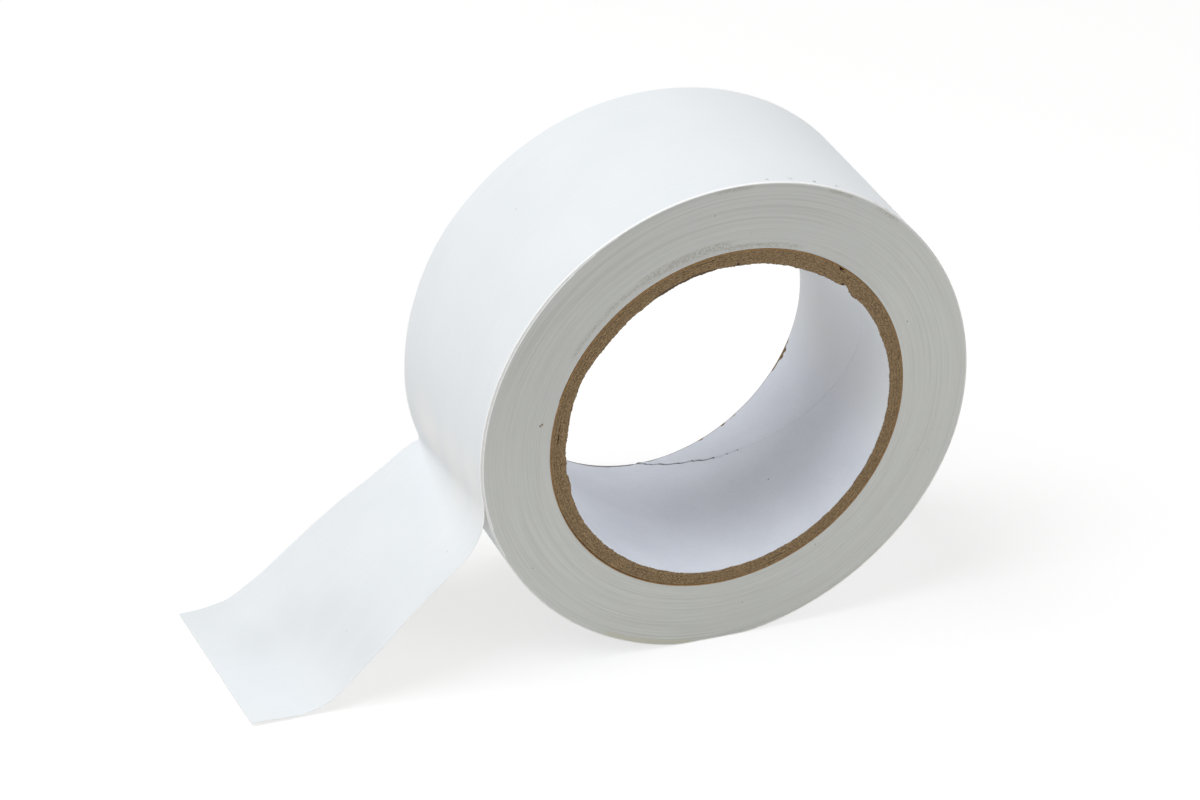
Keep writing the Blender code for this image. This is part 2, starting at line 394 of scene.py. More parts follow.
def edge_noise(seed, angle, count):
    """Noise along a round edge."""
    return value_noise(seed, around(angle, count), angle * 0, (count, 1))


def at_degrees(angle, centre, half):
    """A window whose centre and half width are in degrees."""
    return window(angle, math.radians(centre), math.radians(half))


def roll_points(radius, angle, y):
    radius, angle, y = np.broadcast_arrays(radius, angle, y)
    return np.stack([-radius * np.cos(angle), y, AXIS_HEIGHT - radius * np.sin(angle)], -1)


# Shape of the roll

def loose(angle):
    """1 where the last layers are loose, and 0 elsewhere."""
    turned = (angle + math.pi) % (2 * math.pi) - math.pi
    return smooth(turned, *LOOSE_START) * (1 - smooth(turned, *LOOSE_END))


def rim(angle, share):
    """Radius of the wound pack at a share of the width: out of round, and flat where it rests."""
    round_part = RIM_RADIUS + sum(height * np.cos(count * angle - turn) for count, height, turn in LOBES)
    round_part = round_part + LOOSE_LIFT * loose(angle) * (1 - share)
    for centre, half, front, back in BULGES:
        round_part = round_part + between((front, back), share) * at_degrees(angle, centre, half)
    down = np.sin(angle)
    floor = (AXIS_HEIGHT - FLOOR_CLEARANCE) / np.maximum(down, NEAR_FLOOR)
    rest = np.where(down > NEAR_FLOOR, floor, FAR_RADIUS)
    return -REST_SOFTNESS * np.logaddexp(-round_part / REST_SOFTNESS, -rest / REST_SOFTNESS)


def core_radius(angle):
    """Outer radius of the core, which is a little squeezed and off centre."""
    squeeze = CORE_SQUEEZE * np.cos(2 * (angle - CORE_SQUEEZE_ANGLE))
    return CORE_RADIUS + squeeze + CORE_SHIFT * np.cos(angle - CORE_SHIFT_ANGLE)


def film_radius(angle, share):
    """Middle of the outer turn, which goes on from the pack's last layer and lifts off it at its end."""
    wound = TAPE * (0.5 + (angle - TURN_START) / (2 * math.pi)) + FILM_CLEARANCE
    return rim(angle, share) + wound + END_LIFT * share * smooth(angle, *END_LIFT_ANGLES)


class TailRow:
    """One line along the tail, at a share of the width from the front edge."""

    def __init__(self, share):
        self.share = share
        self.peel_angle = between(PEEL_ANGLE, share)
        self.slope = between(SLOPE, share)
        self.peel_bend = between(PEEL_BEND, share)
        self.floor_bend = between(FLOOR_BEND, share)
        self.first_dip = math.pi / 2 + self.peel_angle
        self.start = roll_points(film_radius(self.peel_angle, share), self.peel_angle, 0)[[0, 2]]
        self.slope_top = self.on_bend(self.start, self.peel_bend, self.first_dip, self.slope)
        low = TAIL_FLOOR_GAP + TAPE / 2
        drop = self.slope_top[1] - self.floor_bend * (1 - math.cos(self.slope)) - low
        self.slope_foot = (self.slope_top[0] - drop / math.tan(self.slope), self.slope_top[1] - drop)
        self.flat_start = self.on_bend(self.slope_foot, self.floor_bend, self.slope, 0)
        self.peel_length = self.peel_bend * (self.first_dip - self.slope)
        self.slope_end = self.peel_length + drop / math.sin(self.slope)
        self.floor_end = self.slope_end + self.floor_bend * self.slope
        self.length = self.floor_end + FLAT_LENGTH

    @staticmethod
    def on_bend(start, radius, first_dip, dip):
        reach = radius * (math.sin(first_dip) - math.sin(dip))
        drop = radius * (math.cos(dip) - math.cos(first_dip))
        return start[0] - reach, start[1] - drop

    def place(self, distance):
        """x and z at a distance along the row from the peel line."""
        if distance < self.peel_length:
            dip = self.first_dip - distance / self.peel_bend
            return self.on_bend(self.start, self.peel_bend, self.first_dip, dip)
        if distance < self.slope_end:
            run = distance - self.peel_length
            x, z = self.slope_top
            return x - run * math.cos(self.slope), z - run * math.sin(self.slope)
        if distance < self.floor_end:
            dip = self.slope - (distance - self.slope_end) / self.floor_bend
            return self.on_bend(self.slope_foot, self.floor_bend, self.slope, dip)
        return self.flat_start[0] - (distance - self.floor_end), self.flat_start[1]

    def bow(self, distance):
        """How far the row bows up at a distance from the peel line."""
        total = 0.0
        for centre, half, front, back in BOWS:
            away = abs(distance / self.floor_end - centre)
            total += between((front, back), self.share) * (1 - smooth(away, 0, half))
        return total * smooth(distance, 0, BOW_START)


def tail_rows(shares):
    rows = [TailRow(share) for share in shares]
    ends = [TailRow(0), TailRow(1)]
    end_x = min(row.flat_start[0] for row in ends) - FLAT_LENGTH
    for row in rows:
        row.length = row.floor_end + row.flat_start[0] - end_x + END_SLANT * row.share
    return rows


# Meshes

def loop_faces(columns, size, closed):
    """Quads between neighbouring columns of closed loops, and their corners on the bake map."""
    count = columns if closed else columns - 1
    i, j = (index.ravel() for index in np.meshgrid(np.arange(count), np.arange(size), indexing="ij"))
    after, beside = (i + 1) % columns, (j + 1) % size
    faces = np.stack([i * size + j, i * size + beside, after * size + beside, after * size + j], 1)
    u = MAP_MARGIN + (1 - 2 * MAP_MARGIN) * np.stack([i, i, i + 1, i + 1], 1) / count
    v = np.stack([j, j + 1, j + 1, j], 1) / size
    return faces.tolist(), np.stack([u, v], -1).tolist()


def cap_faces(first, rows, size, low, high):
    """Closes the end of a strip: its top rows are zipped to its bottom rows."""
    faces = [[first, first + 1, first + size - 1]]
    corners = [[(low, 0), (high, 1 / size), (low, 1 / size)]]
    for k in range(1, rows):
        faces.append([first + k, first + k + 1, first + size - k - 1, first + size - k])
        v0, v1 = k / size, (k + 1) / size
        corners.append([(low, v0), (low, v1), (high, v1), (high, v0)])
    faces.append([first + rows, first + rows + 1, first + rows + 2])
    v0, v1 = rows / size, (rows + 1) / size
    corners.append([(low, v0), (high, v1), (low, v1)])
    return faces, corners


def inside_out(points, faces):
    a, b, c = (points[[face[k] for face in faces]] for k in (0, 1, 2))
    d = points[[face[-1] for face in faces]]
    total = (a * np.cross(b, c)).sum() + (a * np.cross(c, d)).sum()
    return total < 0


def add_piece(name, points, faces, corners, slots, materials, sharp):
    """One closed mesh with its own bake map; slots gives each face's material."""
    points = points.reshape(-1, 3)
    if inside_out(points, faces):
        faces = [face[::-1] for face in faces]
        corners = [corner[::-1] for corner in corners]
    mesh = bpy.data.meshes.new(name)
    mesh.from_pydata(points.tolist(), [], faces)
    bake = mesh.uv_layers.new(name="OFBake")
    bake.data.foreach_set("uv", np.array([uv for corner in corners for uv in corner]).ravel())
    for material in materials:
        mesh.materials.append(material)
    mesh.polygons.foreach_set("material_index", slots)
    mesh.shade_smooth()
    mesh.set_sharp_from_angle(angle=math.radians(sharp))
    piece = bpy.data.objects.new(name, mesh)
    bpy.context.scene.collection.objects.link(piece)
    return piece


def add_ring(name, loops, materials, slots=None):
    """A closed ring from one closed loop of points per column."""
    faces, corners = loop_faces(*loops.shape[:2], True)
    return add_piece(name, loops, faces, corners, slots or [0] * len(faces), materials, CORE_SHARP)


def add_film(name, middle, materials):
    """A strip of tape from its middle surface: columns along it, rows from front to back."""
    along = np.gradient(middle, axis=0)
    across = np.gradient(middle, axis=1)
    normal = np.cross(across, along)
    normal /= np.linalg.norm(normal, axis=-1, keepdims=True)
    out = across / np.linalg.norm(across, axis=-1, keepdims=True)
    half = TAPE / 2
    top, bottom = middle + normal * half, middle - normal * half
    front = (middle - out * half * EDGE_ROUNDING)[:, :1]
    back = (middle + out * half * EDGE_ROUNDING)[:, -1:]
    loops = np.concatenate([front, top, back, bottom[:, ::-1]], 1)
    columns, size = loops.shape[:2]
    rows = middle.shape[1]
    faces, corners = loop_faces(columns, size, False)
    slots = [0 if k <= rows else 1 for k in range(size)] * (columns - 1)
    for first, low, high in ((0, 0.0, CAP_WIDTH), ((columns - 1) * size, 1.0, 1 - CAP_WIDTH)):
        more, ends = cap_faces(first, rows, size, low, high)
        faces += more if first else [face[::-1] for face in more]
        corners += ends if first else [end[::-1] for end in ends]
        slots += [1] * len(more)
    return add_piece(name, loops, faces, corners, slots, materials, FILM_SHARP)


def place_on_roll(piece, node):
    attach(piece, "roll")
    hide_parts(node)


# Nodes

ACROSS_SCALE = 700.0
SECTOR_CORE = 0.6


class Nodes:
    """Adds linked nodes to one material."""

    def __init__(self, name):
        self.material = bpy.data.materials.new(name)
        self.material.use_nodes = True
        self.tree = self.material.node_tree
        self.shader = self.tree.nodes["Principled BSDF"]
        self.place = self.add("TexCoord").outputs["Object"]

    def put(self, socket, value):
        if isinstance(value, bpy.types.NodeSocket):
            self.tree.links.new(value, socket)
        else:
            socket.default_value = value

    def add(self, kind, inputs=(), **settings):
        node = self.tree.nodes.new("ShaderNode" + kind)
        for key, value in settings.items():
            setattr(node, key, value)
        for key, value in dict(inputs).items():
            self.put(node.inputs[key], value)
        return node

    def math(self, operation, *values):
        return self.add("Math", enumerate(values), operation=operation).outputs[0]

    def times(self, first, second):
        return self.math("MULTIPLY", first, second)

    def vector(self, operation, *values):
        return self.add("VectorMath", enumerate(values), operation=operation)

    def noise(self, vector, scale, detail=2.0, roughness=0.5):
        inputs = {"Vector": vector, "Scale": scale, "Detail": detail, "Roughness": roughness}
        return self.add("TexNoise", inputs).outputs["Fac"]

    def stretched_noise(self, scale, detail=2.0, vector=None):
        """Noise with its own scale along each axis."""
        placed = self.vector("MULTIPLY", vector or self.place, scale).outputs["Vector"]
        return self.noise(placed, 1.0, detail)

    def step(self, value, low, high, start=0.0, end=1.0):
        inputs = {"Value": value, "From Min": low, "From Max": high, "To Min": start, "To Max": end}
        return self.add("MapRange", inputs, interpolation_type="SMOOTHSTEP").outputs["Result"]

    def mix(self, share, first, second):
        node = self.add("Mix", {0: share}, data_type="RGBA")
        for socket, colour in ((node.inputs[6], first), (node.inputs[7], second)):
            self.put(socket, colour if isinstance(colour, bpy.types.NodeSocket) else (*colour, 1.0))
        return node.outputs[2]

    def polar(self):
        """Distance from the roll's axis, and the unit direction from it."""
        flat = self.vector("MULTIPLY", self.place, (1, 0, 1)).outputs["Vector"]
        arm = self.vector("SUBTRACT", flat, (0, 0, AXIS_HEIGHT)).outputs["Vector"]
        return self.vector("LENGTH", arm).outputs["Value"], self.vector("NORMALIZE", arm).outputs["Vector"]

    def ring_noise(self, around_scale, out_scale, detail=2.0):
        """Noise in rings: fine from the axis outwards, slow around it."""
        radius, direction = self.polar()
        turn = self.vector("MULTIPLY", direction, (around_scale, 0, around_scale)).outputs["Vector"]
        side = self.add("SeparateXYZ", {0: self.place}).outputs["Y"]
        out = self.math("MULTIPLY_ADD", side, ACROSS_SCALE, self.times(radius, out_scale))
        lifted = self.add("CombineXYZ", {1: out}).outputs["Vector"]
        return self.noise(self.vector("ADD", turn, lifted).outputs["Vector"], 1.0, detail)

    def sector(self, degrees, half):
        """1 in the sector of the roll around an angle, and 0 outside it."""
        _, direction = self.polar()
        middle = tuple(roll_points(1.0, math.radians(degrees), 0.0) - (0, 0, AXIS_HEIGHT))
        turned = self.vector("DOT_PRODUCT", direction, middle).outputs["Value"]
        return self.step(turned, math.cos(math.radians(half)), math.cos(math.radians(half * SECTOR_CORE)))

    def band(self, value, low, high, soft):
        """1 between two values, and 0 outside them."""
        inside = self.step(value, low - soft, low + soft)
        return self.times(inside, self.step(value, high - soft, high + soft, 1.0, 0.0))

    def spots(self, places, core=0.5):
        """1 in the core of each spot, given as a point and its radius, and 0 outside it."""
        total = None
        for point, size in places:
            away = self.vector("DISTANCE", self.place, point).outputs["Value"]
            spot = self.step(away, size * core, size, 1.0, 0.0)
            total = spot if total is None else self.math("MAXIMUM", total, spot)
        return total

    def bump(self, height, distance, strength=1.0):
        inputs = {"Height": height, "Distance": distance, "Strength": strength}
        self.put(self.shader.inputs["Normal"], self.add("Bump", inputs).outputs["Normal"])

    def finish(self, colour, roughness):
        self.put(self.shader.inputs["Base Color"], colour)
        self.put(self.shader.inputs["Roughness"], roughness)
        return self.material


def on_front(radius_mm, degrees):
    """A point on the front face, from its radius and angle."""
    return tuple(roll_points(radius_mm / 1000, math.radians(degrees), -HALF_WIDTH))


def on_film(degrees, y_mm):
    """A point on the outer turn."""
    angle, y = math.radians(degrees), y_mm / 1000
    return tuple(roll_points(film_radius(angle, 0.5 + y / (2 * HALF_WIDTH)) + TAPE / 2, angle, y))


# Small marks, and patches of painted light and painted shade: places and radii
SCUFFS = (
    (on_film(264 - 360, -22.3), 0.0005),
    (on_film(258.4 - 360, -22.1), 0.0008),
    (on_film(252.5 - 360, -22.4), 0.0006),
    (on_film(246.7 - 360, -22.3), 0.0007),
    (on_film(236.5 - 360, -23.4), 0.0008),
    (on_film(233 - 360, -23.4), 0.0006),
)
FILM_SPECKS = (
    (on_film(252.7 - 360, -22.4), 0.00048),
    (on_film(312.6 - 360, 7), 0.0002),
    ((-0.06112, -0.0165, 0.03022), 0.00025),
    ((-0.08438, 0.006, 0.00842), 0.00025),
    ((-0.08163, -0.0105, 0.01037), 0.00025),
)
# Patches of painted shade on the tail, where it bends down to the floor
PAINTED_SHADE_PATCHES = (
    ((-0.0950, 0.0055, 0.0012), 0.011),
    ((-0.0890, 0.0040, 0.0045), 0.013),
    ((-0.0840, -0.0020, 0.0085), 0.013),
    ((-0.0820, -0.0120, 0.0103), 0.013),
    ((-0.0810, -0.0190, 0.0111), 0.011),
)
# Patches of painted light on the film, around the peel crease and below the tail
PAINTED_LIGHT_PATCHES = (
    (on_film(12, 9), 0.013),
    (on_film(12, -6), 0.014),
    (on_film(10, -18), 0.013),
    (on_film(34, -22), 0.012),
)
EDGE_SPECKS = (
    (on_front(51.08, 277.0), 0.00022),
    (on_front(45.14, 267.1), 0.00017),
    (on_front(52.93, 33.0), 0.00022),
    (on_front(48.30, 97.3), 0.0002),
    (on_front(44.54, 202.8), 0.00025),
    (on_front(42.84, 122.5), 0.00022),
    (on_front(51.76, 161.4), 0.00018),
    (on_front(49.11, 160.7), 0.00018),
)
BROWN_SPECK = (
    (on_front(44.36, 351.45), 0.00034),
    (on_front(44.0, 350.95), 0.00034),
)
# Spots of painted shade in the board's pits and on its inner lip
SHADED_BOARD_PITS = (
    (on_front(38.17, 229.6), 0.0005),
    (on_front(40.97, 233.7), 0.0006),
    (on_front(38.22, 270.3), 0.00045),
)
LINER_SPECKS = ((tuple(roll_points(LINER_BORE, math.radians(123.7), -0.002)), 0.00025),)

# Where the first ply's inner edge lies in shade: inner and outer radius, angle and half width in degrees
LIP_SHADE = (0.038, 0.03855, 289, 13)
SHADE_SOFTNESS = 0.00015

# Where the layers stand out most: angle and half width in degrees, and radii between which this begins
UNEVEN_SECTOR = (292, 60)
UNEVEN_RADII = (0.0455, 0.05)

# Tinted places: radii or distances from the middle, and sectors with their half width in degrees
ROLL_END = (0.0578, 0.0592)
# Painted highlight: distances from the middle at which the film's edge band begins
EDGE_HIGHLIGHT_BAND = (0.0233, 0.0236)
# Painted shade on the film's cut edges: where the edge band begins, and its sector
SHADED_EDGE_BAND = (0.02386, 0.02396)
SHADED_EDGE_SECTOR = (150, 115)
# Painted shade: sector of the wound face made darker towards the upper left
WOUND_SHADE_SECTOR = (292, 85)
YELLOW_BAND = (0.0553, 0.058, 0.0006)
YELLOW_SECTOR = (73, 14)
# Painted shade: sector of the bore made darker and less blue
PAPER_SHADE_SECTOR = (215, 62)

# Grey smudges on the wound face: inner and outer radius, angle and half width in degrees
SMUDGES = (
    (0.0419, 0.0429, 263, 15),
    (0.0424, 0.0443, 287, 17),
    (0.0428, 0.0438, 304, 13),
    (0.0427, 0.0435, 321, 10),
    (0.0558, 0.0568, 272, 5),
    (0.0559, 0.0568, 246, 4),
    (0.0559, 0.0568, 232.5, 4),
)
SMUDGE_SOFTNESS = 0.0005


# Materials

def film_material():
    n = Nodes("film_face")
    streaks = n.stretched_noise((45, 2400, 45), 3)
    clouds = n.noise(n.place, 55, 3)
    fine = n.noise(n.place, 1400, 3)
    tone = n.math("ADD", n.times(streaks, 0.4), n.times(clouds, 0.6))
    clean = n.mix(n.step(tone, 0.3, 0.7), *FILM)
    # Painted light: the film is made lighter around the peel and below the tail
    painted_light = n.mix(n.times(n.spots(PAINTED_LIGHT_PATCHES, 0.1), 0.85), clean, PAINTED_LIGHT_FILM)
    # Painted shade: the tail is made darker where it bends down to the floor
    shaded_film = n.mix(n.times(n.spots(PAINTED_SHADE_PATCHES, 0.0), 0.5), painted_light, PAINTED_SHADE_FILM)
    scuffs = n.times(n.spots(SCUFFS), n.step(fine, 0.36, 0.58))
    specks = n.times(n.spots(FILM_SPECKS), 0.7)
    marked = n.mix(n.math("MAXIMUM", scuffs, specks), shaded_film, FILM_MARK)
    side = n.math("ABSOLUTE", n.add("SeparateXYZ", {0: n.place}).outputs["Y"])
    radius, _ = n.polar()
    on_roll = n.step(radius, *ROLL_END, 1.0, 0.0)
    # Painted highlight: a whiter band along the film's edges on the roll
    edge_highlight = n.times(n.step(side, *EDGE_HIGHLIGHT_BAND), on_roll)
    highlighted = n.mix(edge_highlight, marked, EDGE_HIGHLIGHT_FILM)
    # Painted shade: the film's cut edges are darker over this sector, mottled by noise
    edge_shade = n.times(n.step(side, *SHADED_EDGE_BAND), n.sector(*SHADED_EDGE_SECTOR))
    mottled_edge_shade = n.times(edge_shade, n.step(fine, 0.2, 0.5, 0.6, 1.0))
    colour = n.mix(mottled_edge_shade, highlighted, EDGE_SHADE_FILM)
    grain = n.noise(n.place, 3800, 2)
    height = n.math("ADD", n.times(grain, 0.5), n.times(streaks, 0.5))
    n.bump(height, 0.00002, 0.35)
    return n.finish(colour, n.step(n.math("ADD", clouds, grain), 0.6, 1.4, 0.36, 0.5))


def glue_side_material():
    n = Nodes("film_glue_side")
    clouds = n.noise(n.place, 120, 3)
    specks = n.noise(n.place, 2600, 2)
    colour = n.mix(n.step(clouds, 0.3, 0.7), *GLUE)
    n.bump(specks, 0.00003, 0.5)
    return n.finish(colour, n.step(specks, 0.3, 0.7, 0.3, 0.5))


def wound_edge_material():
    n = Nodes("film_edges_wound")
    layers = n.ring_noise(3.0, 7400, 1)
    bands = n.ring_noise(2.0, 1500, 2)
    lines = n.step(n.ring_noise(1.2, 3300, 1), 0.56, 0.66)
    patches = n.noise(n.place, 140, 3)
    grit = n.noise(n.place, 2600, 3)
    tone = n.math("ADD", n.times(layers, 0.55), n.times(bands, 0.45))
    clean = n.mix(n.step(tone, 0.25, 0.75), *WOUND)
    toned = n.mix(n.step(patches, 0.35, 0.75, 0.0, 0.35), clean, WOUND_PATCH)
    # Painted shade: the wound face is darker towards the upper left
    shaded_face = n.mix(n.times(n.sector(*WOUND_SHADE_SECTOR), 0.5), toned, WOUND_SHADE)
    radius, _ = n.polar()
    uneven = n.times(n.sector(*UNEVEN_SECTOR), n.step(radius, *UNEVEN_RADII))
    ridges = n.times(n.step(n.ring_noise(0.8, 1500, 1), 0.5, 0.62), uneven)
    drawn = n.math("MAXIMUM", n.times(lines, 0.35), n.times(ridges, 0.6))
    lined = n.mix(drawn, shaded_face, WOUND_LINE)
    dirty = None
    for low, high, degrees, half in SMUDGES:
        smudge = n.times(n.band(radius, low, high, SMUDGE_SOFTNESS), n.sector(degrees, half))
        dirty = smudge if dirty is None else n.math("MAXIMUM", dirty, smudge)
    dirty = n.times(dirty, n.step(grit, 0.38, 0.62, 0.1, 1.0))
    smudged = n.mix(dirty, lined, SMUDGE)
    yellow = n.times(n.band(radius, *YELLOW_BAND), n.sector(*YELLOW_SECTOR))
    tinted = n.mix(n.times(yellow, 0.6), smudged, YELLOWED)
    specked = n.mix(n.spots(EDGE_SPECKS), tinted, SPECK)
    colour = n.mix(n.spots(BROWN_SPECK), specked, BROWN)
    n.bump(tone, 0.00004, 0.6)
    return n.finish(colour, n.step(bands, 0.3, 0.7, 0.5, 0.65))


def board_material():
    n = Nodes("board_end")
    fibres = n.ring_noise(70, 7500, 3)
    chips = n.noise(n.place, 5200, 3)
    patches = n.noise(n.place, 300, 2)
    tone = n.math("ADD", n.times(fibres, 0.5), n.times(chips, 0.5))
    fibre = n.mix(n.step(tone, 0.38, 0.62), *BOARD)
    aged = n.mix(n.step(patches, 0.4, 0.7, 0.0, 0.4), fibre, AGED_BOARD)
    flecks = n.step(n.noise(n.place, 2900, 2), 0.66, 0.74)
    flecked = n.mix(n.times(flecks, 0.6), aged, BOARD_FLECK)
    radius, _ = n.polar()
    low, high, degrees, half = LIP_SHADE
    shade = n.times(n.band(radius, low, high, SHADE_SOFTNESS), n.sector(degrees, half))
    shaded = n.mix(n.times(shade, 0.75), flecked, BOARD_SHADE)
    # Painted shade: near-black spots in the board's pits and on its inner lip
    colour = n.mix(n.spots(SHADED_BOARD_PITS), shaded, BOARD_PIT_SHADE)
    n.bump(tone, 0.00012, 0.7)
    return n.finish(colour, n.step(chips, 0.3, 0.7, 0.8, 0.95))


def kraft_material():
    n = Nodes("kraft_edge")
    fibres = n.ring_noise(45, 9000, 3)
    colour = n.mix(n.step(fibres, 0.3, 0.7), *KRAFT)
    n.bump(fibres, 0.00006, 0.6)
    return n.finish(colour, n.step(fibres, 0.3, 0.7, 0.65, 0.85))


def liner_material():
    n = Nodes("liner_face")
    fibres = n.stretched_noise((900, 2600, 900), 3)
    clouds = n.noise(n.place, 90, 3)
    fine = n.noise(n.place, 5200, 2)
    tone = n.math("ADD", n.times(fibres, 0.45), n.times(clouds, 0.55))
    paper = n.mix(n.step(tone, 0.3, 0.7), *PAPER)
    # Painted shade: the bore's upper right is darker and less blue
    shaded_paper = n.mix(n.times(n.sector(*PAPER_SHADE_SECTOR), 0.9), paper, SHADED_PAPER)
    colour = n.mix(n.spots(LINER_SPECKS), shaded_paper, PAPER_SPECK)
    wrinkles = n.stretched_noise((260, 1500, 1500), 3)
    height = n.math("ADD", n.times(fine, 0.4), n.times(wrinkles, 0.6))
    n.bump(height, 0.00009, 0.6)
    return n.finish(colour, n.step(fine, 0.3, 0.7, 0.5, 0.65))


def seam_material():
    n = Nodes("liner_seam_gap")
    fibres = n.noise(n.place, 3000, 3)
    colour = n.mix(n.step(fibres, 0.3, 0.7), *SEAM_SHADE)
    n.bump(fibres, 0.00008, 0.6)
    return n.finish(colour, n.step(fibres, 0.3, 0.7, 0.75, 0.9))


def fold_shade_material():
    n = Nodes("liner_seam_fold_shade")
    fibres = n.noise(n.place, 3000, 3)
    # Painted shade: the crease is slightly darker than the paper
    colour = n.mix(n.step(fibres, 0.3, 0.7), *SEAM_FOLD_SHADE)
    n.bump(fibres, 0.00005, 0.5)
    return n.finish(colour, n.step(fibres, 0.3, 0.7, 0.55, 0.7))


# Pieces of the roll

def face_depth(radius, angle, seed):
    """How far the wound edges lie in from the side face."""
    proud = smooth(ring_waves(seed + len(FACE_WAVES), radius, angle, PROUD_WAVE), *PROUD_LEVELS)
    return FACE_RECESS + ring_waves(seed, radius, angle, FACE_WAVES) - PROUD_HEIGHT * proud


def spiral_angle(turn):
    """Angle of the spiral after a number of turns from the core."""
    return TURN_START - 2 * math.pi * (PACK_TURNS + 1 - turn)


def winding_line(turn, angle, side, seed, extra):
    """One spiral on a side face, from the core outwards."""
    share = (1 + side) / 2
    start = core_radius(angle) + CORE_GAP
    radius = start + (rim(angle, share) - start) * turn / PACK_TURNS
    left = PACK_TURNS + 1 - turn
    sunk = LOOSE_DEPTH * loose(angle) * (1 - share) * (1 - smooth(left, *LOOSE_LAYERS))
    corner = CORNER_DEPTH * (1 - smooth(left, *CORNER_LAYERS))
    depth = face_depth(radius, angle, seed) + extra + sunk + corner
    return roll_points(radius, angle, side * (HALF_WIDTH - depth))


def winding_points():
    """Valleys between the layers and crests of the layers, on the front face and then on the back face."""
    turn = np.arange((PACK_TURNS + 1) * TURN_STEPS + 1) / TURN_STEPS
    crest = turn[: PACK_TURNS * TURN_STEPS + 1]
    lines = []
    for side, seed in FACE_SEEDS:
        lines.append(winding_line(turn, spiral_angle(turn), side, seed, VALLEY_DEPTH))
        lines.append(winding_line(crest + 0.5, spiral_angle(crest), side, seed, 0))
    return np.concatenate(lines)


def winding_faces():
    """Quads of both faces, the bore and the outside, and a cap at each end of the spiral."""
    steps, end = TURN_STEPS, PACK_TURNS * TURN_STEPS
    crest = end + steps + 1
    side = crest + end + 1
    i, first, last = np.arange(end), np.arange(steps), np.arange(end, end + steps)
    inner = np.stack([i, crest + i, crest + i + 1, i + 1], 1)
    outer = np.stack([crest + i, i + steps, i + steps + 1, crest + i + 1], 1)
    bore = np.stack([first, first + 1, side + first + 1, side + first], 1)
    outside = np.stack([last, side + last, side + last + 1, last + 1], 1)
    groups = [inner, outer, (inner + side)[:, ::-1], (outer + side)[:, ::-1], bore, outside]
    start_cap = [0, side, side + crest, side + steps, steps, crest]
    end_cap = [end, crest + end, end + steps, side + end + steps, side + crest + end, side + end]
    return [face for group in groups for face in group.tolist()] + [start_cap, end_cap]


def turn_map(index, low, high, turned=False):
    """Corners on the bake map of quads along the spiral, between two heights."""
    u = (index % TURN_STEPS) / TURN_STEPS
    v0, v1 = np.broadcast_to(low, u.shape), np.broadcast_to(high, u.shape)
    quad = [(u, v0), (u, v1), (u + 1 / TURN_STEPS, v1), (u + 1 / TURN_STEPS, v0)]
    quad = quad[::-1] if turned else quad
    return np.stack([np.stack(corner, -1) for corner in quad], 1).tolist()


def winding_map():
    i = np.arange(PACK_TURNS * TURN_STEPS)
    turn, share = i / TURN_STEPS, FACE_MAP / (PACK_TURNS + 1)
    maps = []
    for base, turned in ((0, False), (BACK_FACE_MAP, True)):
        for low, high in ((turn, turn + 0.5), (turn + 0.5, turn + 1)):
            maps += turn_map(i, base + low * share, base + high * share, turned)
    one_turn = np.arange(TURN_STEPS)
    maps += turn_map(one_turn, *BORE_MAP) + turn_map(one_turn, *OUTSIDE_MAP)
    u, v = CAP_MAP
    hexagon = [(u + CAP_MAP_SIZE * math.cos(k), v + CAP_MAP_SIZE * math.sin(k)) for k in range(6)]
    return maps + [hexagon, [(u + CAP_MAP_STEP, v) for u, v in hexagon]]


def winding_slots():
    """Material of each face: 0 for wound edges, and 1 for film on the last layers and the outside."""
    turn = np.arange(PACK_TURNS * TURN_STEPS) / TURN_STEPS
    left = PACK_TURNS - turn
    front = left < 1 + (LOOSE_LAYERS[1] - 1) * loose(spiral_angle(turn))
    faces = [front.astype(int).tolist()] * 2 + [(left < 1).astype(int).tolist()] * 2
    return sum(faces, []) + [0] * TURN_STEPS + [1] * TURN_STEPS + [0, 0]


def add_winding(edge, film):
    """The pack as one long spiral of tape, with a crest for each layer on both faces."""
    points, faces = winding_points(), winding_faces()
    piece = add_piece("winding", points, faces, winding_map(), winding_slots(), [edge, film], WINDING_SHARP)
    place_on_roll(piece, "tape_winding")


def add_outer_turn(film, glue):
    angle = np.linspace(TURN_START, TURN_END, TURN_COLUMNS)[:, None]
    share = np.linspace(0, 1, TURN_ROWS)[None, :]
    inset = CORNER_DEPTH * (1 - 2 * share) + LOOSE_INSET * loose(angle) * (1 - share)
    middle = roll_points(film_radius(angle, share), angle, HALF_WIDTH * (2 * share - 1) + inset)
    piece = add_film("outer_turn", middle, [film, glue])
    place_on_roll(piece, "tape_outer_turn")


# Tail

def tail_surface(rows, stretches):
    """Middle surface of part of the tail: stretches gives each row's distances."""
    grid = []
    for row in rows:
        line = []
        for distance in stretches(row):
            if distance < 0:
                angle = row.peel_angle + distance / RIM_RADIUS
                x, _, z = roll_points(film_radius(angle, row.share), angle, 0.0)
            else:
                x, z = row.place(distance)
            tip = smooth(distance, row.length - TIP_REACH, row.length)
            settled = 1 - smooth(distance, *SETTLED)
            inset = settled * (CORNER_DEPTH * (1 - 2 * row.share) + LOOSE_INSET * (1 - row.share))
            y = -HALF_WIDTH + inset + (2 * HALF_WIDTH - TIP_PULL * tip) * row.share
            line.append((x, y, z + TIP_CURL * tip * (1 - row.share) + row.bow(distance)))
        grid.append(line)
    return np.array(grid).transpose(1, 0, 2)


def root_seam(row):
    return (row.peel_length + row.length - TAIL_END_LENGTH - TAIL_MIDDLE_LENGTH) / 2


def end_seam(row):
    return row.length - TAIL_END_LENGTH - TAIL_MIDDLE_LENGTH / 2


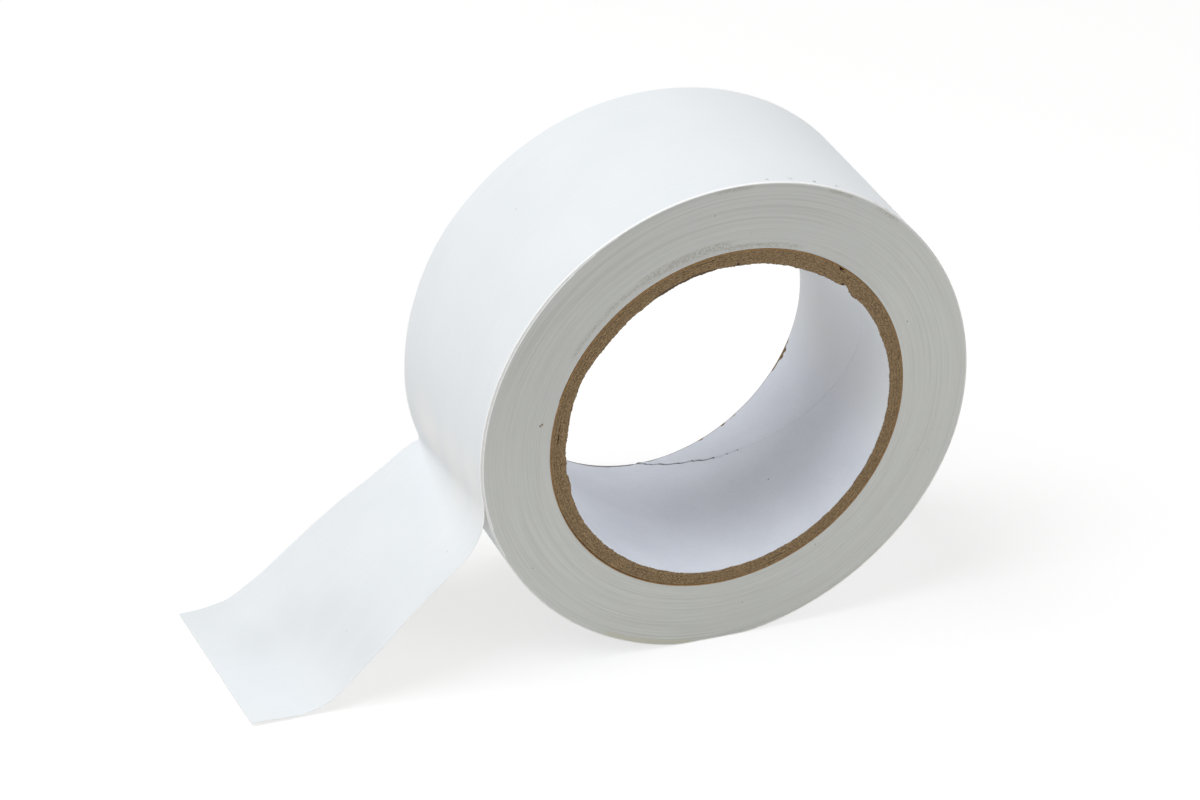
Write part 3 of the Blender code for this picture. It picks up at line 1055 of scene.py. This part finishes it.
def peel_stretch(row):
    on_roll, bend, slope = PEEL_COLUMNS
    first = (TURN_END + STRIP_GAP - row.peel_angle) * RIM_RADIUS
    stretches = (
        np.linspace(first, 0, on_roll)[:-1],
        np.linspace(0, row.peel_length, bend)[:-1],
        np.linspace(row.peel_length, root_seam(row), slope),
    )
    return np.concatenate(stretches)


def slope_stretch(row):
    return np.linspace(root_seam(row), end_seam(row), SLOPE_COLUMNS)


def end_stretch(row):
    return np.linspace(end_seam(row), row.length, TIP_COLUMNS)


# Each piece's name, distances, nodes and joint, and two lengths before and after the joint
TAIL_PIECES = (
    ("tail_peel", peel_stretch, ("tape_peel_strip", "tape_tail_root"), "tail_lift", (0.001, 0.006)),
    ("tail_slope", slope_stretch, ("tape_tail_middle",), "tail_mid_flex", (0.004, 0.004)),
    ("tail_tip", end_stretch, ("tape_tail_end",), "tail_end_flex", (0.004, 0.004)),
)


def add_tail(film, glue):
    rows = tail_rows(np.linspace(0, 1, TAIL_ROWS))
    for name, stretches, nodes, joint_name, (before, after) in TAIL_PIECES:
        middle = tail_surface(rows, stretches)
        piece = add_film(name, middle, [film, glue])
        joint = JOINTS[joint_name]
        pivot, axis = Vector(joint["pos_m"]), Vector(joint["axis"])
        run = Vector(middle[-1, TAIL_ROWS // 2] - middle[0, TAIL_ROWS // 2])
        run = (run - axis * run.dot(axis)).normalized()
        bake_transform(piece)
        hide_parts(*nodes)


# Core

def end_profile(inner, outer, count):
    """Radii across an end face, closer together at its two edges."""
    share = (1 - np.cos(np.linspace(0, math.pi, count))) / 2
    return inner + (outer - inner) * share


def burr(angle, seed):
    """Inner radius of the ragged lip that the slitting blade left on the first ply."""
    radius = LIP_RADIUS - LIP_SHIFT * np.cos(angle - LIP_SHIFT_ANGLE)
    for step, (count, height) in enumerate(LIP_WAVES):
        radius = radius + height * edge_noise(seed + step, angle, count)
    for centre, half, depth in BURRS:
        radius = radius - depth * at_degrees(angle, centre, half)
    return radius


def slit(angle, ply):
    """How far a ply has come loose from the next one at its front edge."""
    total = 0 * angle
    for number, centre, half, opening in SLITS:
        if number == ply:
            total = total + opening * at_degrees(angle, centre, half)
    return total


def ply_end(side, inner, outer, angle, recess, seed):
    """End face of a ply, from its inner edge to its outer edge."""
    radius = end_profile(inner, outer, len(PLY_CORNER))
    depth = recess + np.array(PLY_CORNER) + ring_waves(seed, radius, angle, BOARD_WAVES)
    return roll_points(radius, angle, side * (HALF_WIDTH - depth))


def add_first_ply(board):
    """The innermost ply, whose ragged lip covers the front end of the liner."""
    angle = np.linspace(0, 2 * math.pi, FIRST_PLY_COLUMNS, endpoint=False)[:, None]
    outer = PLY_START + PLY_THICKNESS
    lip, plain = burr(angle, LIP_SEED), PLY_START + 0 * angle
    front = ply_end(-1, lip, outer - slit(angle, 1), angle, BOARD_RECESS, PLY_SEEDS[0])
    back = ply_end(1, plain, outer, angle, BOARD_RECESS, PLY_SEEDS[0] + BACK_SEED)
    loops = [front, back[:, ::-1]]
    steps = ((plain, 1, LIP_DEPTH), (plain, 1, LIP_STEP), (plain, -1, LIP_STEP), (lip, -1, LIP_DEPTH))
    for radius, side, deep in steps:
        loops.append(roll_points(radius, angle, side * (HALF_WIDTH - BOARD_RECESS - deep)))
    piece = add_ring("board_ply_1", np.concatenate(loops, 1), [board])
    place_on_roll(piece, "core_ply_1")


def add_core(board, kraft):
    add_first_ply(board)
    angle = np.linspace(0, 2 * math.pi, PLY_COLUMNS, endpoint=False)[:, None]
    for ply in (2, 3, 4):
        inner = PLY_START + (ply - 1) * PLY_PITCH
        gap = KRAFT_GAP * window(angle, *KRAFT_GAP_PLACE) + KRAFT_CLEARANCE
        outer = np.minimum(inner + PLY_THICKNESS, core_radius(angle) - KRAFT_WIDTH - gap)
        seed = PLY_SEEDS[ply - 1]
        front = ply_end(-1, inner, outer - slit(angle, ply), angle, BOARD_RECESS, seed)
        back = ply_end(1, inner, outer, angle, BOARD_RECESS, seed + BACK_SEED)
        piece = add_ring(f"board_ply_{ply}", np.concatenate([front, back[:, ::-1]], 1), [board])
        place_on_roll(piece, f"core_ply_{ply}")
    inner, outer = core_radius(angle) - KRAFT_WIDTH, core_radius(angle)
    front = ply_end(-1, inner, outer, angle, KRAFT_RECESS[0], KRAFT_SEED)
    back = ply_end(1, inner, outer, angle, KRAFT_RECESS[1], KRAFT_SEED + BACK_SEED)
    piece = add_ring("kraft_ply", np.concatenate([front, back[:, ::-1]], 1), [kraft])
    place_on_roll(piece, "core_outer_ply")


def torn_length(angle):
    """How far in from the back end the liner's face is gone."""
    rough = 1 + TEAR_ROUGHNESS * edge_noise(TEAR_SEED, angle, TEAR_COUNT)
    return rough * sum(length * at_degrees(angle, centre, half) for centre, half, length in TEARS)


def gap_length(angle):
    """How far in from the back end the liner's edge gapes."""
    lengths = [length * at_degrees(angle, centre, half) ** 0.5 for centre, half, length in EDGE_GAPS]
    return np.maximum.reduce(lengths)


def liner_grid():
    """Columns as angles from the seam, fine beside it, and rows as places across the tape."""
    near, torn, far = LINER_COLUMNS
    turns = (
        np.linspace(-SEAM_SIDE, SEAM_SIDE, near),
        np.linspace(SEAM_SIDE, SEAM_TORN_SIDE, torn)[1:],
        np.linspace(SEAM_TORN_SIDE, 2 * math.pi - SEAM_SIDE, far)[1:-1],
    )
    ends = (LINER_FRONT, LINER_MIDDLE, LINER_BACK - LINER_END, LINER_BACK)
    rows = [np.linspace(low, high, count)[1:] for low, high, count in zip(ends, ends[1:], LINER_ROWS)]
    return np.concatenate(turns)[:, None], np.concatenate([[LINER_FRONT], *rows])[None, :]


def seam_wander(y):
    """How the seam strays from its helix, across the tape."""
    total = 0.0
    for seed, size, cells, height in WANDER_WAVES:
        total = total + height * value_noise(seed, y / size, y * 0, (cells, 1))
    return total


def add_liner(paper, gap, board, fold):
    """The liner's columns follow its helical seam, which gapes at the back and is flat at the front."""
    turn, y = liner_grid()
    opening, wander = smooth(y, *SEAM_OPEN), seam_wander(y)
    away = np.where(turn > math.pi, turn - 2 * math.pi, turn) * LINER_BORE
    angle = SEAM_BACK_ANGLE + SEAM_TURN * (HALF_WIDTH - y) / (2 * HALF_WIDTH) + turn
    angle = angle + SEAM_WANDER / LINER_BORE * wander * opening * np.exp(-((away / SEAM_WANDER_REACH) ** 2))
    groove = between(SEAM_GROOVE, opening) * np.exp(-((away / SEAM_GAP) ** 2))
    lap = np.where(away > 0, between(SEAM_LAP, opening) * (1 - smooth(away, *SEAM_LAP_FADE)), 0)
    place = around(angle, LINER_WAVE_CELLS[0]), y / LINER_WAVE_LENGTH
    waves = LINER_WAVE * value_noise(LINER_WAVE_SEED, *place, LINER_WAVE_CELLS)
    torn = y > LINER_BACK - torn_length(angle)
    gaping = y > LINER_BACK - gap_length(angle)
    crease = np.abs(away) < SEAM_LINE
    dark = (crease & (opening + SEAM_BREAKS * wander > SEAM_DARK)) | gaping
    centre, half, reach = LINER_REACH
    long_y = y + reach * window(angle, centre, half) * smooth(y, LINER_BACK - LINER_END, LINER_BACK)
    inside = roll_points(LINER_BORE - lap + groove + waves + TEAR_DEPTH * (torn | gaping), angle, long_y)
    outside = roll_points(LINER_OUTSIDE, angle, long_y)
    whole = np.where(dark, GAP_FACE, np.where(crease, FOLD_FACE, PAPER_FACE))
    bore_slots = np.where(torn, BOARD_FACE, whole)
    slots = np.concatenate([bore_slots, np.full_like(bore_slots, PAPER_FACE)], 1).ravel().tolist()
    loops = np.concatenate([inside, outside[:, ::-1]], 1)
    piece = add_ring("liner", loops, [paper, gap, board, fold], slots)
    place_on_roll(piece, "core_liner")


# Stage

def white_to_camera(tree):
    """1 for rays that should see the plain white background."""
    path = tree.nodes.new("ShaderNodeLightPath")
    total = path.outputs["Is Camera Ray"]
    for name in ("Is Glossy Ray", "Is Transmission Ray"):
        node = tree.nodes.new("ShaderNodeMath")
        node.operation = "MAXIMUM"
        tree.links.new(total, node.inputs[0])
        tree.links.new(path.outputs[name], node.inputs[1])
        total = node.outputs[0]
    return total


def add_floor():
    mesh = bpy.data.meshes.new("floor")
    turn = np.linspace(0, 2 * math.pi, FLOOR_SIDES, endpoint=False)
    corners = FLOOR_RADIUS * np.stack([np.cos(turn), np.sin(turn), np.zeros_like(turn)], 1)
    mesh.from_pydata(corners.tolist(), [], [list(range(FLOOR_SIDES))])
    floor = bpy.data.objects.new("floor", mesh)
    bpy.context.scene.collection.objects.link(floor)
    n = Nodes("floor_sweep")
    n.tree.nodes.remove(n.shader)
    plain = n.add("BsdfDiffuse", {"Color": FLOOR_PLAIN})
    shaded = n.add("BsdfDiffuse", {"Color": FLOOR_SEEN})
    glow = n.add("Emission", {"Color": (1, 1, 1, 1), "Strength": FLOOR_GLOW})
    seen = n.add("AddShader", {0: shaded.outputs[0], 1: glow.outputs[0]})
    shown = n.add("MixShader", {0: white_to_camera(n.tree), 1: plain.outputs[0], 2: seen.outputs[0]})
    n.put(n.tree.nodes["Material Output"].inputs["Surface"], shown.outputs[0])
    mesh.materials.append(n.material)


def add_light(name, place, size, power, tint):
    lamp = bpy.data.lights.new(name, "AREA")
    lamp.shape = "DISK"
    lamp.size = size
    lamp.energy = power
    lamp.color = tint
    light = bpy.data.objects.new(name, lamp)
    light.location = place
    aim = Vector((0, 0, AXIS_HEIGHT)) - Vector(place)
    light.rotation_euler = aim.to_track_quat("-Z", "Y").to_euler()
    bpy.context.scene.collection.objects.link(light)


def add_world(strength, tint):
    world = bpy.data.worlds.new("studio")
    world.use_nodes = True
    tree = world.node_tree
    light = tree.nodes["Background"]
    light.inputs["Color"].default_value = (*tint, 1)
    light.inputs["Strength"].default_value = strength
    white = tree.nodes.new("ShaderNodeBackground")
    white.inputs["Color"].default_value = (1, 1, 1, 1)
    mix = tree.nodes.new("ShaderNodeMixShader")
    tree.links.new(white_to_camera(tree), mix.inputs[0])
    tree.links.new(light.outputs[0], mix.inputs[1])
    tree.links.new(white.outputs[0], mix.inputs[2])
    tree.links.new(mix.outputs[0], tree.nodes["World Output"].inputs["Surface"])
    bpy.context.scene.world = world


def add_camera():
    camera = bpy.data.objects.new("camera", bpy.data.cameras.new("camera"))
    camera.data.lens = CAMERA_LENS
    camera.data.sensor_width = CAMERA_SENSOR
    camera.data.clip_start = CAMERA_NEAR
    axes = Matrix((CAMERA_RIGHT, CAMERA_UP, [-v for v in CAMERA_LOOK])).transposed()
    camera.matrix_world = Matrix.Translation(CAMERA_PLACE) @ axes.to_4x4()
    bpy.context.scene.collection.objects.link(camera)
    bpy.context.scene.camera = camera


add_camera()
white_film = film_material()
glue_side = glue_side_material()
add_winding(wound_edge_material(), white_film)
add_outer_turn(white_film, glue_side)
add_tail(white_film, glue_side)
brown_board = board_material()
add_core(brown_board, kraft_material())
add_liner(liner_material(), seam_material(), brown_board, fold_shade_material())
add_floor()
for light in LIGHTS:
    add_light(*light)
add_world(WORLD_LIGHT, WORLD_TINT)
bpy.context.scene.view_settings.view_transform = "Standard"
